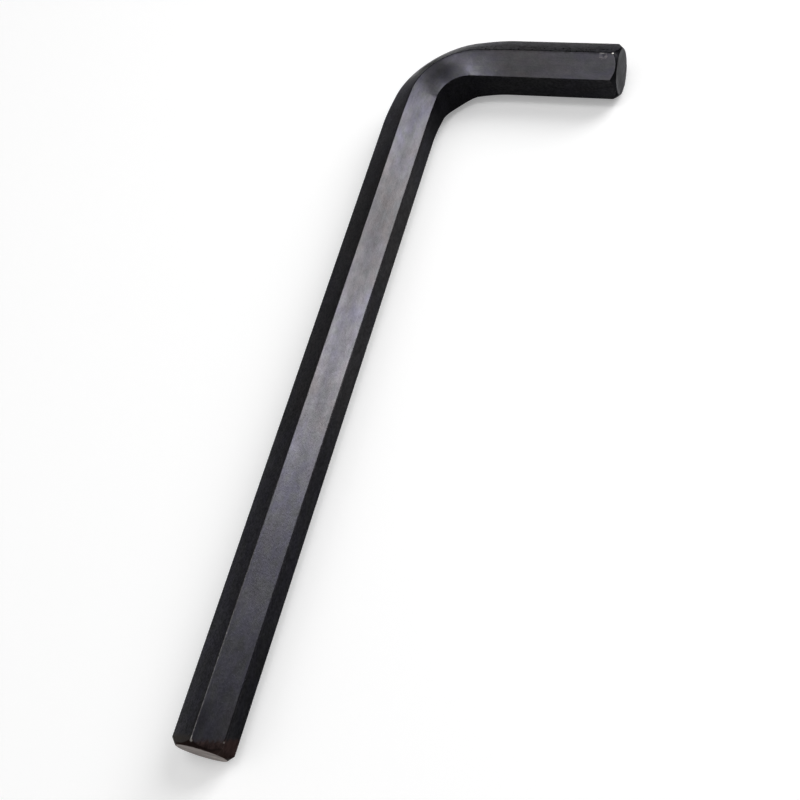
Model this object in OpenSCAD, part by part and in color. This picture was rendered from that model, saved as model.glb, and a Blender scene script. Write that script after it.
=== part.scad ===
// Hex key: one bar of hexagonal tool steel, bent once into an L.
// It lies flat, the long arm along X and the short arm along Y, and rests on
// its lowest edge. The origin is the middle of the space that it covers.

/* [Bar] */
// Width of the bar across two opposite flats
across_flats = 12; // [10:0.5:14]
// Radius of the six long edges
edge_radius = 0.35; // [0.2:0.05:1]

/* [Arms] */
// Length of the long arm, from the back of the short arm to the end face
long_len = 191; // [120:1:260]
// Length of the short arm, from the back of the long arm to the end face
short_len = 57.2; // [45:0.1:90]

/* [Bend] */
// Radius of the bend at the middle of the bar
bend_radius = 14; // [13:0.5:18]
// Stretch of each arm beside the bend that the bending still deforms
bend_ease = 9; // [4:0.5:12]
// How far the bar's middle is drawn to the inside of the bend
bend_draw = 0.8; // [0:0.1:1.2]
// How much further the squeezed inner flat bulges
inner_bulge = 0.65; // [0:0.05:1]
// How much further the stretched outer flat sinks in
outer_sink = 0.65; // [0:0.05:1]
// Share by which the bending widens the inner flat
inner_widening = 0.45; // [0:0.05:0.5]
// Share by which the bending narrows the outer flat
outer_narrowing = 0.25; // [0:0.05:0.5]

/* [Ends] */
// Length of the end chamfer, measured along an edge of the bar
chamfer_len = 1.4; // [0.4:0.05:2]
// Slope of the end chamfer, measured from the end face
chamfer_angle = 50; // [35:1:60]

/* [Hidden] */
// Straight steps on each rounded edge, even so that one point is the crest
edge_steps = 4;
// Sections around the bend and on each eased stretch beside it
bend_steps = 36;
ease_steps = 8;
// Distance from the bar's axis to a sharp corner, and to the rounded crest
corner_r = across_flats / 2 / cos(30);
crest_r = corner_r - edge_radius * (1 / cos(30) - 1);
// Radius of the round face that the chamfer leaves
end_face_r = crest_r - chamfer_len / tan(chamfer_angle);
// Where the plain part of each arm starts, from where the arms' axes cross
arm_start = bend_radius + bend_ease;
arc_len = PI / 2 * bend_radius;
bent_len = arc_len + 2 * bend_ease;

// Sections are drawn in a plane whose first direction points to the inside of
// the bend and whose second points up. Each of the six corners lies on the
// inner side of the bar, 1, on its crest or keel, 0, or on the outer side, -1.
SIDES = [1, 0, -1, -1, 0, 1];

// How far the bending moves the corners on one side to the inside of the bend
function shift_of(side) =
    bend_draw + max(side, 0) * inner_bulge + max(-side, 0) * outer_sink;

// Share by which it spreads them apart
function spread_of(side) =
    max(side, 0) * inner_widening - max(-side, 0) * outer_narrowing;

// Corner i of the section, where the bending acts with a strength of 0 to 1
function corner(i, strength) =
    [
        corner_r * cos(60 * i + 30) + strength * shift_of(SIDES[i]),
        corner_r * sin(60 * i + 30) * (1 + strength * spread_of(SIDES[i]))
    ];

function unit(v) = v / norm(v);

// Outward normal of the side that runs from p to q
function normal(p, q) = let (d = unit(q - p)) [d[1], -d[0]];

// The rounded edge at corner c, between its neighbours p and q
function rounded(p, c, q) =
    let (
        before = normal(p, c),
        after = normal(c, q),
        outward = unit(before + after),
        centre = c - outward * edge_radius / (outward * before),
        start = atan2(before[1], before[0]),
        step = acos(before * after) / edge_steps
    )
    [
        for (k = [0 : edge_steps])
            centre + edge_radius * [cos(start + k * step), sin(start + k * step)]
    ];

// Outline of the bar where the bending acts with the given strength
function section(strength) =
    let (c = [for (i = [0 : 5]) corner(i, strength)])
    [for (i = [0 : 5]) each rounded(c[(i + 5) % 6], c[i], c[(i + 1) % 6])];

// Strength of the bending at a distance along the bent stretch
function strength_at(along) = pow(sin(180 * along / bent_len), 2);

// Section placed at a point of the bar's axis, turned to face the inside
function ring(axis_point, facing, along) =
    [
        for (p = section(strength_at(along)))
            [
                axis_point[0] + p[0] * cos(facing),
                axis_point[1] + p[0] * sin(facing),
                p[1]
            ]
    ];

// Sections from the long arm, round the bend, to the short arm
function bend_rings() =
    [
        for (k = [0 : ease_steps - 1])
            let (along = bend_ease * k / ease_steps)
            ring([arm_start - along, 0], 90, along),
        for (k = [0 : bend_steps])
            let (
                turn = 90 * k / bend_steps,
                inward = [sin(turn), cos(turn)],
                middle = bend_radius * [1, 1]
            )
            ring(middle - bend_radius * inward, 90 - turn, bend_ease + arc_len * turn / 90),
        for (k = [1 : ease_steps])
            let (along = bend_ease * k / ease_steps)
            ring([0, bend_radius + along], 0, bend_ease + arc_len + along)
    ];

// The bent stretch: its sections joined by a skin, and its two end faces
module bend() {
    rings = bend_rings();
    last = len(rings) - 1;
    n = len(rings[0]);
    skin = [
        for (j = [0 : last - 1], k = [0 : n - 1])
            let (
                a = j * n + k,
                b = j * n + (k + 1) % n,
                c = b + n,
                d = a + n
            )
            each [[a, b, c], [a, c, d]]
    ];
    first_face = [for (k = [n - 1 : -1 : 0]) k];
    last_face = [for (k = [0 : n - 1]) last * n + k];
    polyhedron(
        points = [for (r = rings) each r],
        faces = concat(skin, [first_face, last_face]),
        convexity = 6
    );
}

// The plain part of an arm, standing on its start with its chamfered end up
module arm(length) {
    intersection() {
        linear_extrude(height = length) polygon(section(0));
        cylinder(
            h = length,
            r1 = end_face_r + length / tan(chamfer_angle),
            r2 = end_face_r,
            $fn = 120
        );
    }
}

module hex_key() {
    half = across_flats / 2;
    color([0.2, 0.2, 0.21])
        translate([half - long_len / 2, half - short_len / 2, crest_r]) {
            bend();
            translate([arm_start, 0, 0])
                rotate([90, 0, 90]) arm(long_len - half - arm_start);
            translate([0, arm_start, 0])
                rotate([-90, 0, 0]) arm(short_len - half - arm_start);
        }
}

hex_key();
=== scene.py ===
"""A hex key lying on a pale floor: one bent hexagonal bar of blackened tool steel.

Sizes are in millimetres up to the point where the bar's mesh or the camera is made, and
in metres in the studio.
The bar is measured along its axis from the face of the long arm. Its section is
measured across, towards the inside of the bend, and up.
"""
import math

import bpy
import numpy as np
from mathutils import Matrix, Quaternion, Vector


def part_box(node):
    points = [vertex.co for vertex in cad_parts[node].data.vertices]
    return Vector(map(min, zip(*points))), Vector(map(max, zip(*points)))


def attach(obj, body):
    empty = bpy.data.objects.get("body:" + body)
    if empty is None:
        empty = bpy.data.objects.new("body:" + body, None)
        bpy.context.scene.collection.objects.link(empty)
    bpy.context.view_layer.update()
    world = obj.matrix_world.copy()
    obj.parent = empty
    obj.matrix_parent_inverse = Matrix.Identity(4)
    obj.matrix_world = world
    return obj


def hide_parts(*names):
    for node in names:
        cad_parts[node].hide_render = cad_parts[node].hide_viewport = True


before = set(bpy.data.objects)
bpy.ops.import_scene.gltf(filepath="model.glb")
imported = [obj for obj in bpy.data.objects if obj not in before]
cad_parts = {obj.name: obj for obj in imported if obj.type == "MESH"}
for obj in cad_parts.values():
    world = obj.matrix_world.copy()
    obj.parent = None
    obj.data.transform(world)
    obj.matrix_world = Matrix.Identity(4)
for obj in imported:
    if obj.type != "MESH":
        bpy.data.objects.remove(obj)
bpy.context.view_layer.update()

MM = 0.001

# The bar, as it was drawn and bent
ACROSS_FLATS = 12.0
EDGE_RADIUS = 0.35
BEND_RADIUS = 14.0
BEND_EASE = 9.0
BEND_DRAW = 0.8
INNER_BULGE = 0.65
OUTER_SINK = 0.65
INNER_WIDENING = 0.45
OUTER_NARROWING = 0.25
CHAMFER_LEN = 1.4
CHAMFER_ANGLE = math.radians(50)

# How finely the mesh follows it: the steps on a rounded edge and on a flat, and the distance
# between rings, on most of the bar and in the fine zone at each end
EDGE_STEPS = 6
FLAT_STEPS = 12
RING_STEP = 0.5
FINE_ZONE = 14.0
FINE_STEP = 0.25

# The end zone has its rows at shares of the way from the chamfer to the zone's end, and the
# end face has its rings at shares of its radius
END_ZONE = 4.0
END_SHARES = np.array([0.04, 0.1, 0.18, 0.3, 0.42, 0.56, 0.7, 0.85, 1.0])
FACE_SHARES = np.array([0.1, 0.25, 0.4, 0.55, 0.7, 0.82, 0.92])
# The rounding of the chamfer's two edges, and the most of the chamfer's width that it may take
END_EDGE_ROUNDING = 0.14
END_EDGE_STEPS = 5
END_EDGE_SHARE = 0.4
# The distance from those edges that is noted for the rings past the end zone
FAR_FROM_END = 9.0

# Sizes that follow from those and from the model's box
LOW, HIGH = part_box("hex_key")
LONG_LEN = (HIGH.x - LOW.x) / MM
SHORT_LEN = (HIGH.y - LOW.y) / MM
HALF = ACROSS_FLATS / 2
CORNER_R = HALF / math.cos(math.radians(30))
CREST_R = CORNER_R - EDGE_RADIUS * (1 / math.cos(math.radians(30)) - 1)
END_FACE_R = CREST_R - CHAMFER_LEN / math.tan(CHAMFER_ANGLE)
AXES_CROSS = np.array([LOW.x / MM + HALF, LOW.y / MM + HALF, CREST_R])
LONG_STRAIGHT = LONG_LEN - HALF - BEND_RADIUS
SHORT_STRAIGHT = SHORT_LEN - HALF - BEND_RADIUS
ARC_LEN = math.pi / 2 * BEND_RADIUS
BAR_LEN = LONG_STRAIGHT + ARC_LEN + SHORT_STRAIGHT

# Which side of the bend each corner of the section lies on: 1 inner, 0 crest or keel, -1 outer
SIDES = (1, 0, -1, -1, 0, 1)
# The flats that the photograph shows, by the angle of their normal: 0 faces the inside, 90 up
INNER = 0
UPPER = 60
OUTER = 120
# Distances from the bar's axis between which a point comes to count as on a flat
FLAT_REACH = (HALF - 0.25, HALF - 0.05)

# Marks on the bar. A place on it is the distance along, the flat, and the distance across that
# flat from its middle, towards the crest on the upper one and away from it on the outer one.
DENTS = [
    # place, radius, depth
    (226.5, UPPER, 2.7, 0.8, 0.06),
    (228.6, UPPER, 1.2, 0.6, 0.03),
    (1.0, UPPER, 3.3, 0.5, 0.06),
]
NICKS = [
    # place, length, width, how bare the steel is
    (1.0, UPPER, 3.3, 0.55, 0.5, 1.0),
    (1.7, UPPER, 3.4, 0.8, 0.22, 0.4),
    (2.7, UPPER, -3.35, 0.32, 0.3, 0.3),
    (9.0, UPPER, 3.4, 0.9, 0.2, 0.12),
    (24.2, UPPER, 3.4, 0.5, 0.22, 0.3),
    (228.8, UPPER, 3.3, 0.36, 0.28, 0.95),
    (226.2, UPPER, 3.2, 0.8, 0.2, 0.3),
    (199.2, UPPER, -1.9, 0.5, 0.4, 0.04),
]
DINGS = [
    # place, radius
    (226.5, UPPER, 2.7, 0.85),
]
# Stains near the ends; in the bend, painted shade and painted highlights that stand in for its
# reflections
STAINS_AND_PAINTED_REFLECTIONS = [
    # place, length, width, how much light it takes away, or adds where that is below nothing
    (181.0, UPPER, 0.0, 6.5, 3.3, 0.38),
    (175.5, UPPER, -1.6, 3.5, 2.6, 0.25),
    (229.7, OUTER, -2.6, 0.9, 0.9, 0.7),
    (185.5, UPPER, 2.4, 3.0, 2.2, -0.35),
    (192.6, UPPER, -1.9, 4.0, 2.0, -0.28),
    (191.0, UPPER, 1.3, 2.2, 2.4, 0.14),
    (6.0, UPPER, 2.6, 6.0, 1.8, 0.3),
    (226.6, UPPER, 2.6, 0.5, 0.4, 0.3),
    (181.0, OUTER, -0.8, 4.0, 3.4, 0.5),
    (177.5, OUTER, 1.5, 2.5, 1.8, -0.4),
    (189.0, OUTER, 0.6, 3.2, 2.8, -0.15),
]

# How things change along the bar: each stop is a distance along it and a level there
CREST_WEAR = [(0, 0.2), (8, 0.11), (25, 0.15), (38, 0.13), (50, 0.06), (80, 0.0), (231, 0.0)]
# Painted light and shade: levels that make the upper, outer and inner flats lighter or darker along
# the bar as their reflections fall, the inner flat darkest in the bend's crease
UPPER_PAINTED_SHADE = [
    (0, 0.57), (22, 0.79), (34, 0.92), (46, 0.8), (56, 0.96), (72, 1.12), (88, 1.18),
    (106, 1.04), (128, 0.76), (155, 0.97), (165, 0.8), (176, 1.0), (200, 0.9), (231, 0.86),
]
UPPER_WARMTH = [
    (0, 0.2), (50, 0.05), (85, 0.6), (108, 0.45), (133, 1.0), (158, 0.4),
    (190, 0.05), (208, 0.7), (231, 0.35),
]
OUTER_PAINTED_SHADE = [
    (0, 0.73), (45, 0.6), (100, 0.56), (140, 0.56), (165, 0.8), (178, 0.8),
    (192, 1.2), (203, 1.07), (214, 0.91), (231, 0.79),
]
INNER_PAINTED_SHADE = [
    (0, 0.28), (60, 0.38), (100, 0.51), (130, 0.5), (145, 0.55), (156, 0.47),
    (170, 0.23), (178, 0.1), (190, 0.1), (202, 0.17), (231, 0.22),
]

# Colours of the metal where light falls straight on it
COOL_SCALE = (0.0665, 0.065, 0.082, 1)
WARM_SCALE = (0.073, 0.068, 0.07, 1)
GREY_SCALE = (0.0665, 0.067, 0.0705, 1)
BROWN_SCALE = (0.032, 0.0215, 0.0205)
OLIVE_SCALE = (0.062, 0.054, 0.046, 1)
CHAMFER_SCALE = (0.0092, 0.0092, 0.0105, 1)
BROWN_CHAMFER = (0.0195, 0.0125, 0.0115, 1)
SHORT_FACE = (0.105, 0.105, 0.11)
LONG_FACE = (0.34, 0.305, 0.29)
BARE_STEEL = (0.45, 0.43, 0.41, 1)
DING_STEEL = (0.165, 0.15, 0.153, 1)
# How much of the light the metal keeps at a slant
EDGE_TINT = (0.45, 0.45, 0.45)

# Noises on the bar: how fine along, across and up it, in cells a millimetre, the detail, the
# roughness, and the two levels between which it runs
CLOUD = ((0.07, 0.22, 0.22), 3, 0.6, 0.9, 1.1)
MOTTLE = ((0.35, 0.5, 0.5), 3, 0.65, 0.91, 1.09)
STREAKS = ((0.05, 1.6, 1.6), 2, 0.5, 0.97, 1.03)
GRAIN = ((1.7, 2.6, 2.6), 2, 0.7, 0.93, 1.07)
SIDE_GRAIN = ((1.8, 2.4, 2.4), 3, 0.75, 0.45, 1.55)
DARK_LINE_PATCHES = ((1.0, 0.5, 0.5), 3, 0.7, 0.45, 0.9)
WARMTH_DRIFT = ((0.1, 0.25, 0.25), 2, 0.5, -0.35, 0.35)
SIDE_GREYNESS = ((0.25, 0.4, 0.4), 3, 0.6, 0.1, 1.0)
UPPER_GREYNESS = ((0.3, 0.5, 0.5), 3, 0.6, -0.35, 0.95)
CRAZING = ((1.5, 1.5, 1.5), 4, 0.75, 0.3, 1.7)
BROWN_EDGE = ((0.5, 0.9, 0.9), 4, 0.7, -0.6, 0.6)
BROWN_PATCHES = ((0.7, 1.6, 1.6), 3, 0.7, 0.6, 1.4)
FACE_SCORES = ((0.1, 0.12, 1.1), 3, 0.65, 0.6, 1.4)
FACE_SCRATCHES = ((0.3, 0.6, 3.0), 3, 0.7, 0.75, 1.25)
CREST_PATCHES = ((1.0, 0.2, 0.2), 4, 0.75, 0.0, 1.7)
EDGE_PATCHES = ((0.35, 0.3, 0.3), 4, 0.7, -0.04, 0.05)
RIM_EDGE = ((1.3, 1.3, 1.3), 3, 0.7, -0.45, 0.45)
RIM_PATCHES = ((2.1, 2.1, 2.1), 2, 0.7, -0.1, 0.7)
SATIN = ((0.3, 0.8, 0.8), 3, 0.6, 0.30, 0.37)
UNEVENNESS = ((1.2, 2.2, 2.2), 3, 0.65, 0.0, 1.0)
# The part of Blender's noise texture that is stretched to run between those levels
NOISE_REACH = (0.25, 0.75)

# Ramps: the value where one starts and the value where it ends, and then the levels there,
# where they aren't 0 and 1. First those whose value is a share of the bar's length,
# where the long arm's painted edge highlight starts and ends,
PAINTED_HIGHLIGHT_FROM = (0.19, 0.28)
PAINTED_HIGHLIGHT_TO = (0.74, 0.7)
DARK_LINE_FROM = (0.76, 0.82)
STRETCHED_FROM = (0.76, 0.79)
STRETCH_FADE = (0.84, 0.88, 1.0, 0.6)
# then a distance along the bar,
NEAR_LONG_END = (10, 5)
BROWN_TO = (3.6, 2.4)
OLIVE_TO = (2.6, 1.4)
CHARRED = (0.4, 1.8, 0.62, 1.1)
# a distance across it or up,
# Painted reflection: the outer flat lighter towards its outer corner than at the crest, in its colour
# and, across the bend, in the light a slant keeps
OUTER_PAINTED_FALL = (0.0, -5.6, 0.82, 1.12)
OUTER_SLANT_PAINTED_FALL = (-1.0, -8.0, 0.8, 1.5)
OUTER_HALF = (0.0, -0.6)
OFF_INNER_EDGES = (3.0, 2.0)
FACE_MIDDLE_WORN = (-1.0, 2.0, 0.95, 0.75)
FACE_SIDE_BRIGHT = (3.0, 5.5, 1.0, 1.5)
TOP_ONLY = (6.3, 6.6)
# a distance from the nearest crest, or from the nearest edge of a chamfer,
# the painted edge highlight on the long arm's upper flat,
PAINTED_HIGHLIGHT_EDGES = (3.0, 1.2, 0.95, 1.12)
DARK_LINE_WIDTH = (0.75, 0.15)
CREST_WIDTH = (0.2, 0.06)
WORN_CREST = (0.2, 0.05)
WORN_END_EDGE = (0.15, 0.03)
# the zone of the end, which is 2 on the face, 1 on the chamfer and 0 on the bar's sides,
PAST_SIDES = (0.3, 0.8)
BEFORE_FACE = (1.9, 1.4)
ON_FACE = (1.3, 1.8)
# a distance from the middle of a mark, as a share of its size, or from the rim of a ding,
STAIN_AND_REFLECTION_FADE = (0.2, 1.0)
NICK_FADE = (1.0, 0.3)
RIM_WIDTH = (0.45, 0.1)
# and how warm the scale is
WARMTH_REACH = (-0.1, 1.1)

# The rim of a ding, as a share of its radius
RIM_PLACE = 0.85
# How far the browning's end slants across the bar and up it
BROWN_SLANT = (-0.21, 0.3)
OLIVE_STRENGTH = 0.6
# How much rougher the end faces are than the scale, and how high its unevenness is, in metres
FACE_ROUGHENING = 0.2
UNEVEN_HEIGHT = 0.000011

# The studio, in metres. The floor is a disc with an inner ring, and its rim rises into a wall.
FLOOR_COLOUR = (0.87, 0.87, 0.87, 1)
FLOOR_RADIUS = 1.6
FLOOR_RING = 0.4
COVE_RADIUS = 0.5
COVE_STEPS = 12
WALL_HEIGHT = 0.3
SPOKES = 96
# The floor's own glow, as the camera sees it near the key and far from it, and as the metal
# does. It starts to grow at the first distance and is full at the second.
NEAR_GLOW = 0.26
FAR_GLOW = 0.75
GLOW_REACH = (0.4, 1.3)
MIRRORED_GLOW = 0.2
# How strong the even light from all round is, and how strong the camera sees it
WORLD_LIGHT = 0.2
WORLD_SEEN = 0.95
LAMPS = [
    # name, direction from the key, distance, size, radiance
    ("key_light", (-0.55, 0.49, 0.6), 1.0, (0.46, 0.79), 5.7),
    ("fill_light", (0.45, -0.35, 0.85), 1.1, (0.9, 0.9), 0.77),
    ("top_light", (0.01, 0.03, 1.0), 0.9, (0.32, 0.32), 5.1),
]

# The camera, in millimetres, as it was fitted to the photograph
CAMERA_PLACE = Vector((127.3, 102.7, 259.7))
CAMERA_AIM = Vector((8.8, -3.0, 6.85))
CAMERA_ROLL = math.radians(-29.5)
CAMERA_LENS = 58.5
CAMERA_CLIP = 10.0


# The section

def corner(index, strength):
    """A corner of the section, where the bending acts with a strength of 0 to 1."""
    side = SIDES[index]
    angle = math.radians(60 * index + 30)
    shift = BEND_DRAW + max(side, 0) * INNER_BULGE + max(-side, 0) * OUTER_SINK
    spread = max(side, 0) * INNER_WIDENING - max(-side, 0) * OUTER_NARROWING
    return np.array([
        CORNER_R * math.cos(angle) + strength * shift,
        CORNER_R * math.sin(angle) * (1 + strength * spread),
    ])


def outward(start, end):
    """Outward normal of the side of the section from start to end."""
    along = (end - start) / np.linalg.norm(end - start)
    return np.array([along[1], -along[0]])


def rounded_corner(before, at, after):
    """Points of the rounded edge at a corner, between its neighbours."""
    first, last = outward(before, at), outward(at, after)
    middle = (first + last) / np.linalg.norm(first + last)
    centre = at - middle * EDGE_RADIUS / (middle @ first)
    start = math.atan2(first[1], first[0])
    turn = math.acos(first @ last)
    angles = start + turn * np.linspace(0, 1, EDGE_STEPS + 1)
    return centre + EDGE_RADIUS * np.stack([np.cos(angles), np.sin(angles)], 1)


def section(strength):
    """Outline of the bar: each rounded edge and the flat that follows it, closer near its ends."""
    corners = [corner(i, strength) for i in range(6)]
    edges = [rounded_corner(corners[i - 1], corners[i], corners[(i + 1) % 6]) for i in range(6)]
    share = 0.5 - 0.5 * np.cos(np.pi * np.arange(1, FLAT_STEPS) / FLAT_STEPS)
    points = []
    for i, edge in enumerate(edges):
        start, end = edge[-1], edges[(i + 1) % 6][0]
        points.append(edge)
        points.append(start + share[:, None] * (end - start))
    return np.concatenate(points)


def crest_distance(outline):
    """Distance of each point of the section from the nearest crest, round the section."""
    steps = np.linalg.norm(np.roll(outline, -1, 0) - outline, axis=1)
    at = np.concatenate([[0], np.cumsum(steps)])
    total, at = at[-1], at[:-1]
    per_side = EDGE_STEPS + FLAT_STEPS
    crests = at[np.arange(6) * per_side + EDGE_STEPS // 2]
    gap = np.abs(at[:, None] - crests[None, :])
    return np.minimum(gap, total - gap).min(1)


# The bar's axis

def bend_strength(along):
    """How strongly the bending deforms the section there, from 0 to 1."""
    bent_len = ARC_LEN + 2 * BEND_EASE
    share = np.clip((along - LONG_STRAIGHT + BEND_EASE) / bent_len, 0, 1)
    return np.sin(np.pi * share) ** 2


def axis_place(along):
    """Point of the bar's axis and the direction to the inside of the bend, for each distance."""
    turn = np.clip((along - LONG_STRAIGHT) / BEND_RADIUS, 0, math.pi / 2)
    inward = np.stack([np.sin(turn), np.cos(turn), 0 * turn], -1)
    point = BEND_RADIUS * (np.array([1, 1, 0]) - inward)
    point[..., 0] += np.maximum(LONG_STRAIGHT - along, 0)
    point[..., 1] += np.maximum(along - LONG_STRAIGHT - ARC_LEN, 0)
    return AXES_CROSS + point, inward


# The ends

def curve_round(before, at, after):
    """A small curve from one point to another, which rounds the corner between them."""
    t = np.linspace(0, 1, END_EDGE_STEPS)[:, None]
    return (1 - t) ** 2 * before + 2 * t * (1 - t) * at + t ** 2 * after


def end_profile(radius):
    """From the end face to the plain bar at one point of the section.

    Gives rows of depth and radius, each row's distance from the nearest edge of the
    chamfer, and its zone: 2 on the face, 1 on the chamfer, 0 on the bar's sides."""
    slope = np.array([math.sin(CHAMFER_ANGLE), math.cos(CHAMFER_ANGLE)])
    chamfer = (radius - END_FACE_R) / math.cos(CHAMFER_ANGLE)
    soft = min(END_EDGE_ROUNDING, END_EDGE_SHARE * chamfer)
    inner = np.array([0, END_FACE_R])
    outer = inner + slope * chamfer
    face_edge = curve_round(inner - [0, soft], inner, inner + slope * soft)
    side_edge = curve_round(outer - slope * soft, outer, outer + [soft, 0])
    middle = (face_edge[-1] + side_edge[0]) / 2
    plain_end = np.array([END_ZONE, radius])
    plain = side_edge[-1] + END_SHARES[:, None] * (plain_end - side_edge[-1])
    rows = np.concatenate([face_edge, [middle], side_edge, plain])
    gap = np.minimum(np.linalg.norm(rows - inner, axis=1), np.linalg.norm(rows - outer, axis=1))
    fade = np.linspace(1, 0, END_EDGE_STEPS)
    zone = np.concatenate([1 + fade, [1], fade, np.zeros(len(plain))])
    return rows, gap, zone


def end_rows():
    """The end's rows for every point of the section: depth, place, edge distance and zone."""
    depth, points, gaps, zones = [], [], [], []
    for point in section(0):
        radius = np.linalg.norm(point)
        rows, gap, zone = end_profile(radius)
        depth.append(rows[:, 0])
        points.append(rows[:, 1:] * point / radius)
        gaps.append(gap)
        zones.append(zone)
    return np.array(depth).T, np.array(points).transpose(1, 0, 2), np.array(gaps).T, np.array(zones).T


def face_rows():
    """Rings on the flat end face, from near its middle to its edge."""
    directions = section(0)
    directions = directions / np.linalg.norm(directions, axis=1)[:, None]
    return END_FACE_R * FACE_SHARES[:, None, None] * directions[None]


# The mesh

class Rings:
    """Rings of points along the bar, each with what the materials need to know of it."""

    def __init__(self):
        self.crest = crest_distance(section(0))
        self.rows = []

    def add(self, along, plain, shaped, edge, zone):
        spread = [np.broadcast_to(x, self.crest.shape) for x in (along, edge, zone)]
        self.rows.append((spread[0], plain, shaped, self.crest, spread[1], spread[2]))

    def columns(self):
        return [np.array(column) for column in zip(*self.rows)]


def ring_places():
    """Distances of the rings between the two end zones, closer together near the ends."""
    fine = np.arange(END_ZONE, FINE_ZONE, FINE_STEP)[1:]
    count = round((BAR_LEN - 2 * FINE_ZONE) / RING_STEP)
    middle = np.linspace(FINE_ZONE, BAR_LEN - FINE_ZONE, count + 1)
    return np.concatenate([fine, middle, BAR_LEN - fine[::-1]])


def bar_rings():
    """All rings, from the long arm's face to the short arm's."""
    rings = Rings()
    faces = [(ring, END_FACE_R - np.linalg.norm(ring, axis=1)) for ring in face_rows()]
    ends = list(zip(*end_rows()))
    plain = section(0)
    for ring, edge in faces:
        rings.add(0.0, ring, ring, edge, 2.0)
    for depth, ring, edge, zone in ends:
        rings.add(depth, ring, ring, edge, zone)
    for along in ring_places():
        rings.add(along, plain, section(float(bend_strength(along))), FAR_FROM_END, 0.0)
    for depth, ring, edge, zone in ends[::-1]:
        rings.add(BAR_LEN - depth, ring, ring, edge, zone)
    for ring, edge in faces[::-1]:
        rings.add(BAR_LEN, ring, ring, edge, 2.0)
    return rings


def placed(along, across_up):
    """Points of the bar in the row frame, in millimetres."""
    point, inward = axis_place(along)
    up = np.array([0, 0, 1.0])
    return point + inward * across_up[..., :1] + up * across_up[..., 1:]


def on_flat(along, flat, across):
    """A point of the bar's surface: flat is the angle of the flat's normal, in degrees."""
    angle = math.radians(flat)
    normal = np.array([math.cos(angle), math.sin(angle)])
    tangent = np.array([-math.sin(angle), math.cos(angle)])
    return (along, *(HALF * normal + across * tangent))


def dented(bar, shaped):
    """The section's points, pushed in where something has struck the bar."""
    shaped = shaped.copy()
    for along, flat, across, radius, depth in DENTS:
        away = np.linalg.norm(bar - on_flat(along, flat, across), axis=-1) / radius
        bowl = np.clip(1 - away ** 2, 0, 1) ** 2
        angle = math.radians(flat)
        shaped -= (depth * bowl)[..., None] * [math.cos(angle), math.sin(angle)]
    return shaped


def ring_faces(count, size):
    """Quads between rings, and fans onto the middle of each end face."""
    k = np.arange(size)
    after = (k + 1) % size
    faces = []
    for j in range(count - 1):
        a, b = j * size, (j + 1) * size
        faces += np.stack([a + k, b + k, b + after, a + after], 1).tolist()
    first_middle, last_middle = count * size, count * size + 1
    last = (count - 1) * size
    faces += [[first_middle, int(x), int(y)] for x, y in zip(k, after)]
    faces += [[last_middle, last + int(y), last + int(x)] for x, y in zip(k, after)]
    return faces


def set_attribute(mesh, name, values, middle):
    """Stores a value, or a vector, for each point of the rings and for the two middles."""
    values = np.asarray(values, float)
    vector = values.ndim == 3
    values = values.reshape(-1, 3) if vector else values.ravel()
    values = np.concatenate([values, middle]).astype(np.float32)
    attribute = mesh.attributes.new(name, "FLOAT_VECTOR" if vector else "FLOAT", "POINT")
    attribute.data.foreach_set("vector" if vector else "value", values.ravel())


def make_key():
    along, plain, shaped, crest, edge, zone = bar_rings().columns()
    bar = np.concatenate([along[..., None], plain], -1)
    points = placed(along, dented(bar, shaped)).reshape(-1, 3)
    middles = placed(np.array([0.0, BAR_LEN]), np.zeros((2, 2)))
    points = np.concatenate([points, middles]) * MM

    mesh = bpy.data.meshes.new("key_bar")
    mesh.from_pydata(points.tolist(), [], ring_faces(*along.shape))
    mesh.update()
    set_attribute(mesh, "bar", bar, [[0, 0, 0], [BAR_LEN, 0, 0]])
    set_attribute(mesh, "crest", crest, [HALF, HALF])
    set_attribute(mesh, "end_edge", edge, [END_FACE_R, END_FACE_R])
    set_attribute(mesh, "zone", zone, [2, 2])
    mesh.shade_smooth()
    key = bpy.data.objects.new("key_bar", mesh)
    bpy.context.scene.collection.objects.link(key)
    return key


# Materials

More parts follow.
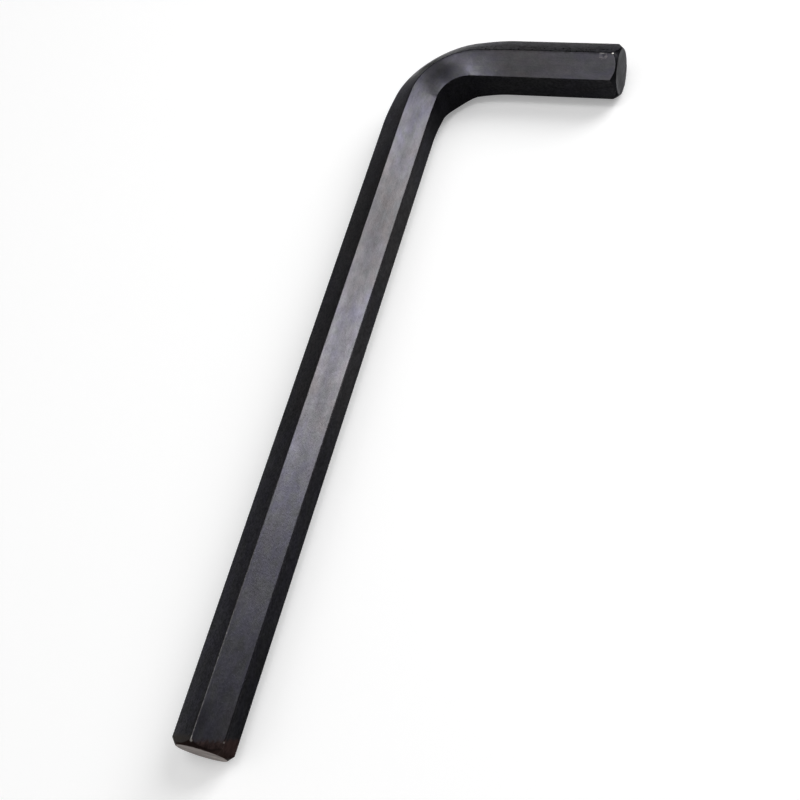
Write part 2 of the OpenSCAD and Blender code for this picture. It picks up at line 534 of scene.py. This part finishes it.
class Graph:
    """Short calls that build a shader's nodes."""

    def __init__(self, name):
        self.material = bpy.data.materials.new(name)
        self.material.use_nodes = True
        self.tree = self.material.node_tree
        self.shader = self.tree.nodes["Principled BSDF"]

    def put(self, socket, value):
        if isinstance(value, bpy.types.NodeSocket):
            self.tree.links.new(value, socket)
        else:
            socket.default_value = value

    def node(self, kind, inputs, **settings):
        made = self.tree.nodes.new(kind)
        for name, value in settings.items():
            setattr(made, name, value)
        for key, value in inputs.items():
            self.put(made.inputs[key], value)
        return made

    def finish(self, **inputs):
        for name, value in inputs.items():
            self.put(self.shader.inputs[name.replace("_", " ")], value)
        return self.material

    def attribute(self, name, output="Fac"):
        return self.node("ShaderNodeAttribute", {}, attribute_name=name).outputs[output]

    def split(self, vector):
        return self.node("ShaderNodeSeparateXYZ", {0: vector}).outputs

    def math(self, operation, a, b=0.0):
        return self.node("ShaderNodeMath", {0: a, 1: b}, operation=operation).outputs[0]

    def times(self, *values):
        product = values[0]
        for value in values[1:]:
            product = self.math("MULTIPLY", product, value)
        return product

    def most(self, *values):
        most = values[0]
        for value in values[1:]:
            most = self.math("MAXIMUM", most, value)
        return most

    def ramp(self, value, start, end, low=0.0, high=1.0):
        """Smoothly from low, at the value start, to high, at the value end."""
        inputs = {"Value": value, 3: low, 4: high, 1: start, 2: end}
        if start > end:
            inputs.update({1: end, 2: start, 3: high, 4: low})
        made = self.node("ShaderNodeMapRange", inputs, interpolation_type="SMOOTHSTEP")
        return made.outputs[0]

    def noise(self, vector, scale, detail, roughness, low, high):
        """Noise on a vector scaled along each axis, stretched to run from low to high."""
        scaled = self.node("ShaderNodeVectorMath", {0: vector, 1: scale}, operation="MULTIPLY")
        made = self.node("ShaderNodeTexNoise", {
            "Vector": scaled.outputs[0], "Scale": 1.0, "Detail": detail, "Roughness": roughness,
        })
        return self.ramp(made.outputs[0], *NOISE_REACH, low, high)

    def mix(self, factor, a, b):
        return self.node("ShaderNodeMix", {0: factor, 6: a, 7: b}, data_type="RGBA").outputs[2]

    def shaded(self, colour, level):
        """The colour with its light scaled by the level."""
        made = self.node("ShaderNodeVectorMath", {0: colour, "Scale": level}, operation="SCALE")
        return made.outputs[0]

    def along_bar(self, share, stops):
        """A smooth line through stops, each a distance along the bar and a level there."""
        made = self.node("ShaderNodeValToRGB", {0: share})
        ramp = made.color_ramp
        ramp.interpolation = "EASE"
        for place, level in stops[1:-1]:
            ramp.elements.new(place / BAR_LEN)
        for element, (place, level) in zip(ramp.elements, stops):
            element.position = min(place / BAR_LEN, 1)
            element.color = (level, level, level, 1)
        return made.outputs[0]

    def blend(self, factor, level):
        """One where the factor is nothing, and the level where it is one."""
        return self.math("ADD", 1.0, self.times(factor, self.math("SUBTRACT", level, 1.0)))

    def gap(self, vector, place, length, width):
        """Distance from a place on the bar, as a share of the mark's length and width."""
        scale = (1 / length, 1 / width, 1 / width)
        point = [a * b for a, b in zip(on_flat(*place), scale)]
        scaled = self.node("ShaderNodeVectorMath", {0: vector, 1: scale}, operation="MULTIPLY")
        between = {0: scaled.outputs[0], 1: point}
        return self.node("ShaderNodeVectorMath", between, operation="DISTANCE").outputs["Value"]

    def flat(self, vector, angle):
        """One on the flat whose normal has that angle, nothing beside it."""
        angle = math.radians(angle)
        normal = (0, math.cos(angle), math.sin(angle))
        made = self.node("ShaderNodeVectorMath", {0: vector, 1: normal}, operation="DOT_PRODUCT")
        return self.ramp(made.outputs["Value"], *FLAT_REACH)

    def bump(self, height, distance):
        inputs = {"Height": height, "Distance": distance, "Strength": 1.0}
        return self.node("ShaderNodeBump", inputs).outputs[0]


def black_scale(g, bar, share, crest, across):
    """The black scale on the flats, cloudy, cool in places and warm in others, under painted light
    and shade.
    """
    upper = g.flat(bar, UPPER)
    outer = g.flat(bar, OUTER)
    inner = g.flat(bar, INNER)
    side = g.math("SUBTRACT", 1.0, upper)

    warmth = g.math("ADD", g.along_bar(share, UPPER_WARMTH), g.noise(bar, *WARMTH_DRIFT))
    colour = g.mix(g.ramp(warmth, *WARMTH_REACH), COOL_SCALE, WARM_SCALE)
    side_greyness = g.times(side, g.noise(bar, *SIDE_GREYNESS))
    upper_greyness = g.times(upper, g.noise(bar, *UPPER_GREYNESS))
    colour = g.mix(g.most(side_greyness, upper_greyness), colour, GREY_SCALE)

    texture = g.times(*[g.noise(bar, *noise) for noise in (CLOUD, MOTTLE, STREAKS, GRAIN)])
    side_grain = g.blend(side, g.noise(bar, *SIDE_GRAIN))
    # Painted reflection: the outer flat lighter towards its outer corner
    fall = g.ramp(across, *OUTER_PAINTED_FALL)
    # Painted light and shade on each flat, along the bar
    upper_painted_shade = g.blend(upper, g.along_bar(share, UPPER_PAINTED_SHADE))
    outer_painted_shade = g.blend(outer, g.times(fall, g.along_bar(share, OUTER_PAINTED_SHADE)))
    inner_painted_shade = g.blend(inner, g.along_bar(share, INNER_PAINTED_SHADE))

    # The long arm's upper flat is painted paler towards its two edges, a painted edge highlight
    painted_highlight_mask = g.times(upper, g.ramp(share, *PAINTED_HIGHLIGHT_FROM), g.ramp(share, *PAINTED_HIGHLIGHT_TO))
    edges = g.blend(painted_highlight_mask, g.ramp(crest, *PAINTED_HIGHLIGHT_EDGES))

    # The short arm has kept a darker line of scale along its edges, apart from the inner ones
    on_edge = g.ramp(crest, *DARK_LINE_WIDTH)
    on_arm = g.ramp(share, *DARK_LINE_FROM)
    line = g.times(on_edge, on_arm, g.ramp(across, *OFF_INNER_EDGES))
    dark_line = g.blend(line, g.noise(bar, *DARK_LINE_PATCHES))

    level = g.times(texture, side_grain, dark_line, edges)
    return g.shaded(colour, g.times(level, upper_painted_shade, outer_painted_shade, inner_painted_shade))


def stain_and_reflection_level(g, bar):
    """How much of the light the stains leave, and the painted shade and painted highlights in the
    bend take or add.
    """
    level = 1.0
    for *place, length, width, strength in STAINS_AND_PAINTED_REFLECTIONS:
        gap = g.gap(bar, place, length, width)
        level = g.times(level, g.ramp(gap, *STAIN_AND_REFLECTION_FADE, 1 - strength, 1.0))
    return level


def heat_browning(g, bar, along, across, up, colour):
    """The long arm's end, which the heat of cutting turned brown, and olive on the outer half."""
    slant_across, slant_up = BROWN_SLANT
    slanted = g.math("ADD", along, g.times(across, slant_across))
    slanted = g.math("ADD", slanted, g.times(up, slant_up))
    ragged = g.math("ADD", slanted, g.noise(bar, *BROWN_EDGE))
    patches = g.times(g.noise(bar, *BROWN_PATCHES), g.ramp(along, *CHARRED))
    outer = g.ramp(across, *OUTER_HALF)
    brown = g.times(g.ramp(ragged, *BROWN_TO), g.math("SUBTRACT", 1.0, outer))
    olive = g.times(g.ramp(along, *OLIVE_TO), outer, OLIVE_STRENGTH)
    colour = g.mix(brown, colour, g.shaded(BROWN_SCALE, patches))
    return g.mix(olive, colour, OLIVE_SCALE)


def face_colour(g, bar, along, across):
    """The cropped end faces: paler than the flats, and scored across by the blade."""
    scored = g.times(g.noise(bar, *FACE_SCORES), g.noise(bar, *FACE_SCRATCHES))
    worn = g.times(g.ramp(across, *FACE_MIDDLE_WORN), g.ramp(across, *FACE_SIDE_BRIGHT))
    short = g.shaded(SHORT_FACE, g.times(scored, worn))
    return g.mix(g.ramp(along, *NEAR_LONG_END), short, g.shaded(LONG_FACE, scored))


def wear(g, bar, share, crest, end_edge, up):
    """How bare the steel is: along the long arm's top crest, in nicks, and faintly on all edges."""
    line = g.times(g.ramp(crest, *CREST_WIDTH), g.ramp(up, *TOP_ONLY))
    crest_wear = g.times(line, g.along_bar(share, CREST_WEAR), g.noise(bar, *CREST_PATCHES))
    edge = g.most(g.ramp(crest, *WORN_CREST), g.ramp(end_edge, *WORN_END_EDGE))
    edge_wear = g.times(edge, g.noise(bar, *EDGE_PATCHES))
    worn = g.most(crest_wear, edge_wear, 0.0)
    for *place, length, width, bareness in NICKS:
        nick = g.ramp(g.gap(bar, place, length, width), *NICK_FADE)
        worn = g.most(worn, g.times(nick, bareness))
    return worn


def ding_rims(g, bar):
    """The raised rims round the dings, broken and uneven."""
    rims = 0.0
    for *place, radius in DINGS:
        gap = g.math("ADD", g.gap(bar, place, radius, radius), g.noise(bar, *RIM_EDGE))
        away = g.math("ABSOLUTE", g.math("SUBTRACT", gap, RIM_PLACE))
        rims = g.most(rims, g.ramp(away, *RIM_WIDTH))
    return g.times(rims, g.noise(bar, *RIM_PATCHES))


def chamfer_colour(g, along):
    """Much darker than the flats on the chamfers, brown on the long arm's."""
    return g.mix(g.ramp(along, *NEAR_LONG_END), CHAMFER_SCALE, BROWN_CHAMFER)


def edge_tint(g, bar, share, across):
    """How much light a slant keeps: crazing on the outer flat, where the bend stretched it and,
    less strongly, along the short arm, with a painted reflection that grows towards its outer corner."""
    on_bend = g.ramp(share, *STRETCHED_FROM)
    fade = g.ramp(share, *STRETCH_FADE)
    stretched = g.times(g.flat(bar, OUTER), on_bend, fade)
    # Crazing, and a painted reflection that grows towards the outer corner
    crazing_and_painted_reflection = g.times(g.noise(bar, *CRAZING), g.ramp(across, *OUTER_SLANT_PAINTED_FALL))
    return g.shaded(EDGE_TINT, g.blend(stretched, crazing_and_painted_reflection))


def blackened_steel():
    """Drawn bar with a black scale: faint temper colours, and steel showing where it is worn."""
    g = Graph("blackened_steel")
    bar = g.attribute("bar", "Vector")
    crest = g.attribute("crest")
    end_edge = g.attribute("end_edge")
    zone = g.attribute("zone")
    along, across, up = g.split(bar)
    share = g.math("DIVIDE", along, BAR_LEN)
    chamfer = g.times(g.ramp(zone, *PAST_SIDES), g.ramp(zone, *BEFORE_FACE))
    face = g.ramp(zone, *ON_FACE)
    # Stains, and the bend's painted shade and painted highlights, on the colour and on the light a
    # slant keeps
    stains_and_reflections = stain_and_reflection_level(g, bar)

    colour = g.shaded(black_scale(g, bar, share, crest, across), stains_and_reflections)
    colour = heat_browning(g, bar, along, across, up, colour)
    colour = g.mix(chamfer, colour, chamfer_colour(g, along))
    colour = g.mix(face, colour, face_colour(g, bar, along, across))
    colour = g.mix(ding_rims(g, bar), colour, DING_STEEL)
    colour = g.mix(wear(g, bar, share, crest, end_edge, up), colour, BARE_STEEL)
    return g.finish(
        Base_Color=colour,
        Specular_Tint=g.shaded(edge_tint(g, bar, share, across), stains_and_reflections),
        Metallic=1.0,
        Roughness=g.math("ADD", g.noise(bar, *SATIN), g.times(face, FACE_ROUGHENING)),
        Normal=g.bump(g.noise(bar, *UNEVENNESS), UNEVEN_HEIGHT),
    )


def pale_floor():
    """A pale floor with a glow of its own, which makes it nearly white to the camera."""
    g = Graph("pale_floor")
    rays = g.node("ShaderNodeLightPath", {}).outputs
    place = g.node("ShaderNodeNewGeometry", {}).outputs["Position"]
    away = g.node("ShaderNodeVectorMath", {0: place}, operation="LENGTH").outputs["Value"]
    seen = g.times(rays["Is Camera Ray"], g.ramp(away, *GLOW_REACH, NEAR_GLOW, FAR_GLOW))
    mirrored = g.times(rays["Is Glossy Ray"], MIRRORED_GLOW)
    return g.finish(
        Base_Color=FLOOR_COLOUR, Roughness=0.9, Specular_IOR_Level=0.1,
        Emission_Color=(1, 1, 1, 1), Emission_Strength=g.math("ADD", seen, mirrored),
    )


# The studio

def make_floor():
    """A pale disc whose rim rises into a low wall."""
    turns = np.radians(np.linspace(0, 90, COVE_STEPS + 1))[1:]
    profile = [(FLOOR_RING, 0.0), (FLOOR_RADIUS, 0.0)]
    profile += [
        (FLOOR_RADIUS + COVE_RADIUS * math.sin(a), COVE_RADIUS * (1 - math.cos(a))) for a in turns
    ]
    profile.append((FLOOR_RADIUS + COVE_RADIUS, COVE_RADIUS + WALL_HEIGHT))
    angles = 2 * math.pi * np.arange(SPOKES) / SPOKES
    points = [(0, 0, 0)]
    for r, z in profile:
        points += [(r * math.cos(a), r * math.sin(a), z) for a in angles]
    sides = [(k, (k + 1) % SPOKES) for k in range(SPOKES)]
    faces = [(0, 1 + k, 1 + after) for k, after in sides]
    for j in range(len(profile) - 1):
        a, b = 1 + j * SPOKES, 1 + (j + 1) * SPOKES
        faces += [(a + k, b + k, b + after, a + after) for k, after in sides]
    mesh = bpy.data.meshes.new("floor")
    mesh.from_pydata(points, [], faces)
    mesh.shade_smooth()
    mesh.materials.append(pale_floor())
    floor = bpy.data.objects.new("floor", mesh)
    bpy.context.scene.collection.objects.link(floor)


def softbox(name, direction, distance, size, radiance):
    """A rectangular lamp that faces the key from a direction."""
    light = bpy.data.lights.new(name, "AREA")
    light.shape = "RECTANGLE"
    light.size, light.size_y = size
    light.energy = radiance * math.pi * size[0] * size[1]
    lamp = bpy.data.objects.new(name, light)
    direction = Vector(direction).normalized()
    lamp.location = direction * distance
    lamp.rotation_mode = "QUATERNION"
    lamp.rotation_quaternion = direction.to_track_quat("Z", "Y")
    bpy.context.scene.collection.objects.link(lamp)


def pale_world():
    """Dim even light from all round, which the camera sees as nearly white."""
    world = bpy.data.worlds.new("studio")
    world.use_nodes = True
    tree = world.node_tree
    rays = tree.nodes.new("ShaderNodeLightPath")
    strength = tree.nodes.new("ShaderNodeMath")
    strength.operation = "MULTIPLY_ADD"
    tree.links.new(rays.outputs["Is Camera Ray"], strength.inputs[0])
    strength.inputs[1].default_value = WORLD_SEEN - WORLD_LIGHT
    strength.inputs[2].default_value = WORLD_LIGHT
    background = tree.nodes["Background"]
    background.inputs["Color"].default_value = (1, 1, 1, 1)
    tree.links.new(strength.outputs[0], background.inputs["Strength"])
    return world


def light_studio():
    for lamp in LAMPS:
        softbox(*lamp)
    bpy.context.scene.world = pale_world()


def make_camera():
    camera = bpy.data.objects.new("camera", bpy.data.cameras.new("camera"))
    camera.data.lens = CAMERA_LENS
    camera.data.clip_start = CAMERA_CLIP * MM
    camera.location = CAMERA_PLACE * MM
    camera.rotation_mode = "QUATERNION"
    look = (CAMERA_AIM - CAMERA_PLACE).to_track_quat("-Z", "Y")
    camera.rotation_quaternion = look @ Quaternion((0, 0, 1), CAMERA_ROLL)
    bpy.context.scene.collection.objects.link(camera)
    bpy.context.scene.camera = camera


bpy.context.scene.view_settings.view_transform = "Standard"
make_camera()
key = make_key()
key.data.materials.append(blackened_steel())
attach(key, "root")
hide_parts("hex_key")
make_floor()
light_studio()
